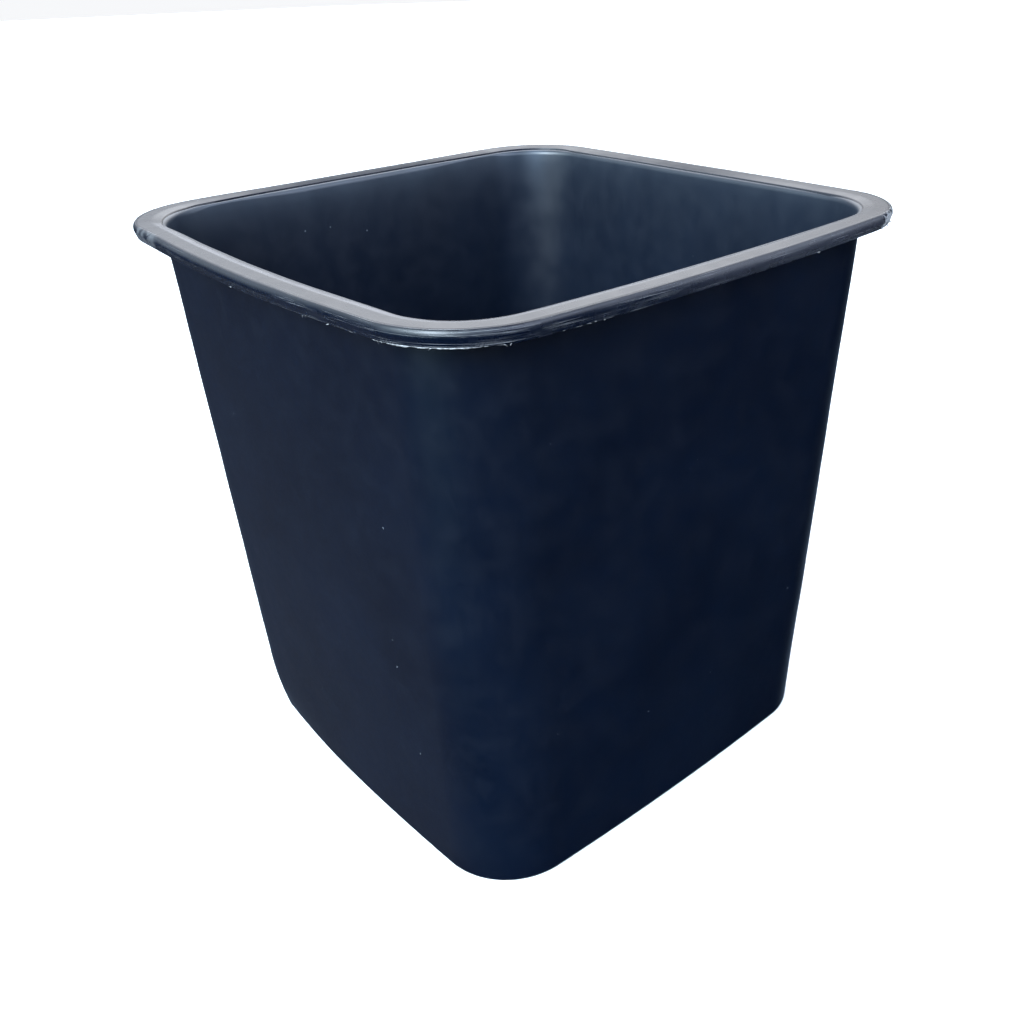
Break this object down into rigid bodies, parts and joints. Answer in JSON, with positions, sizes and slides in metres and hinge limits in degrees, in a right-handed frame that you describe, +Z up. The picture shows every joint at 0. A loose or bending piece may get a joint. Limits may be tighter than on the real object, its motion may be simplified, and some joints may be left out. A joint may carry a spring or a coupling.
{
  "type": "mortar mixing tub",
  "caption": "Tall square plastic tub with tapered walls, round corners and a flat turned-down rim, for mixing and carrying mortar.",
  "frame": {"origin": "centre of the face that the tub stands on", "axes": "+Z up through the mouth; the four sides face +X, -X, +Y and -Y"},
  "size_m": [0.4538, 0.4538, 0.44],
  "materials": {
    "tub_body": "satin moulded polyethylene, blue-black, lightly scuffed",
    "tub_rim": "satin moulded polyethylene, blue-black, scratched and worn paler along the lip"
  },
  "bodies": {
    "root": {"tub_floor": "tub_body", "tub_wall": "tub_body", "rim_flange": "tub_rim", "rim_lip": "tub_rim"}
  },
  "joints": []
}
